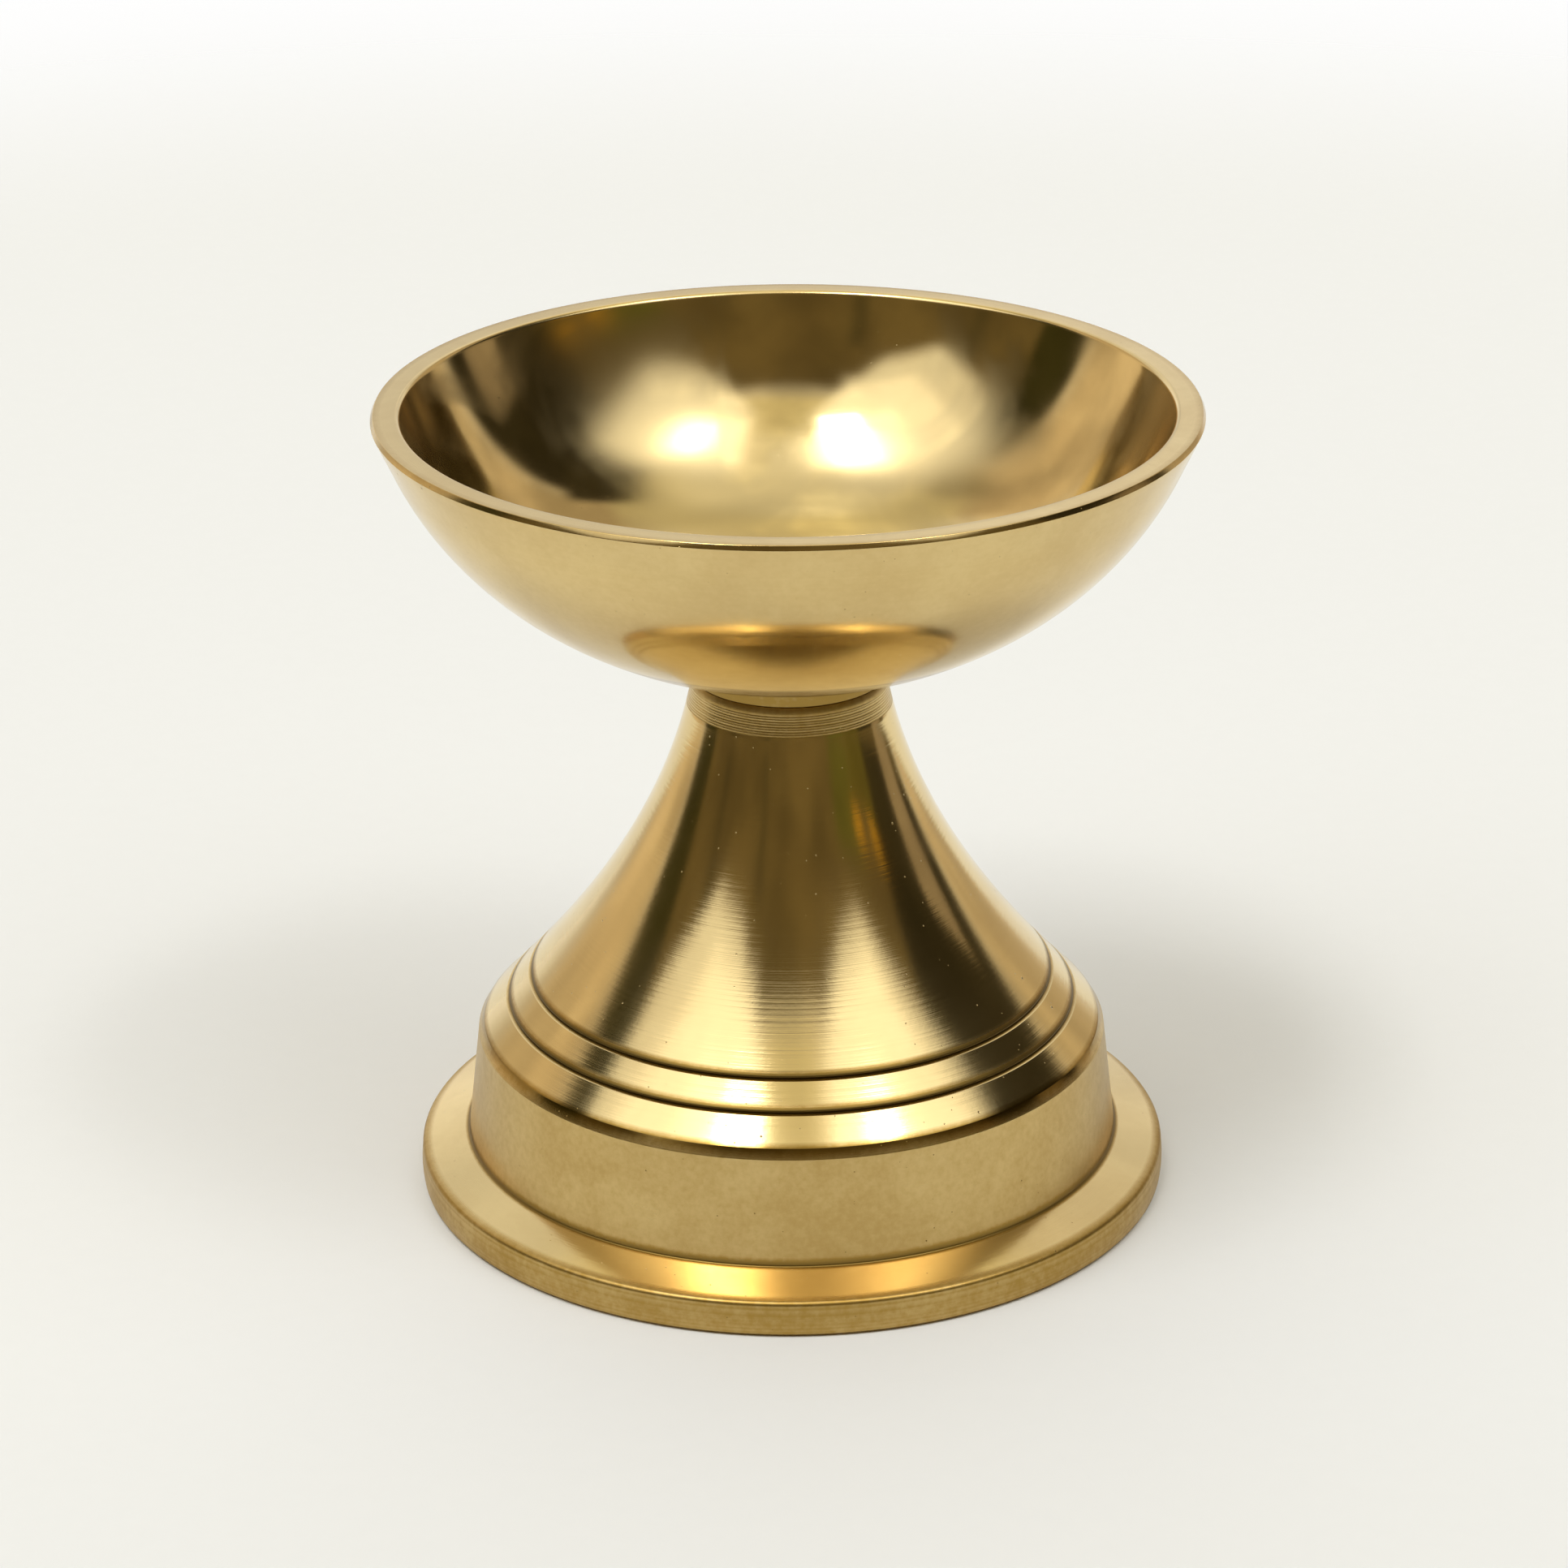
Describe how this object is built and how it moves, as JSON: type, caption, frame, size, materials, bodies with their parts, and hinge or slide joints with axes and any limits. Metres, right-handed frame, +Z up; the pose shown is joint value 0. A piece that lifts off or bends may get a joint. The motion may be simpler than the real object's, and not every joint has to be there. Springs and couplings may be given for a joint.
{
  "type": "diya oil lamp",
  "caption": "Turned brass oil lamp: an open round bowl screwed onto a hollow, flared pedestal with a flanged foot.",
  "frame": {"origin": "middle of the foot's underside, on the surface the lamp stands on", "axes": "+Z up along the turning axis; the lamp is the same all round, so +X and +Y are free"},
  "size_m": [0.065, 0.065, 0.0657],
  "materials": {
    "bowl_brass": "polished, with fine lathe lines",
    "stud_brass": "as cut, unpolished",
    "pedestal_brass": "polished on the bell, satin with fine casting pits on the wall and foot"
  },
  "bodies": {
    "pedestal": {"pedestal": "pedestal_brass"},
    "joining_stud": {"joining_stud": "stud_brass"},
    "bowl": {"bowl": "bowl_brass"}
  },
  "joints": [
    {"name": "bowl_rise", "type": "slide", "parent": "pedestal", "child": "joining_stud", "axis": [0, 0, 1], "range_m": [0, 0.008]},
    {"name": "bowl_turn", "type": "hinge", "parent": "joining_stud", "child": "bowl", "pos_m": [0, 0, 0.0433], "axis": [0, 0, 1], "range_deg": [0, 3600]}
  ],
  "couplings": [
    {"joint": "bowl_rise", "follows": "bowl_turn", "m_per_rad": 0.00012732}
  ]
}
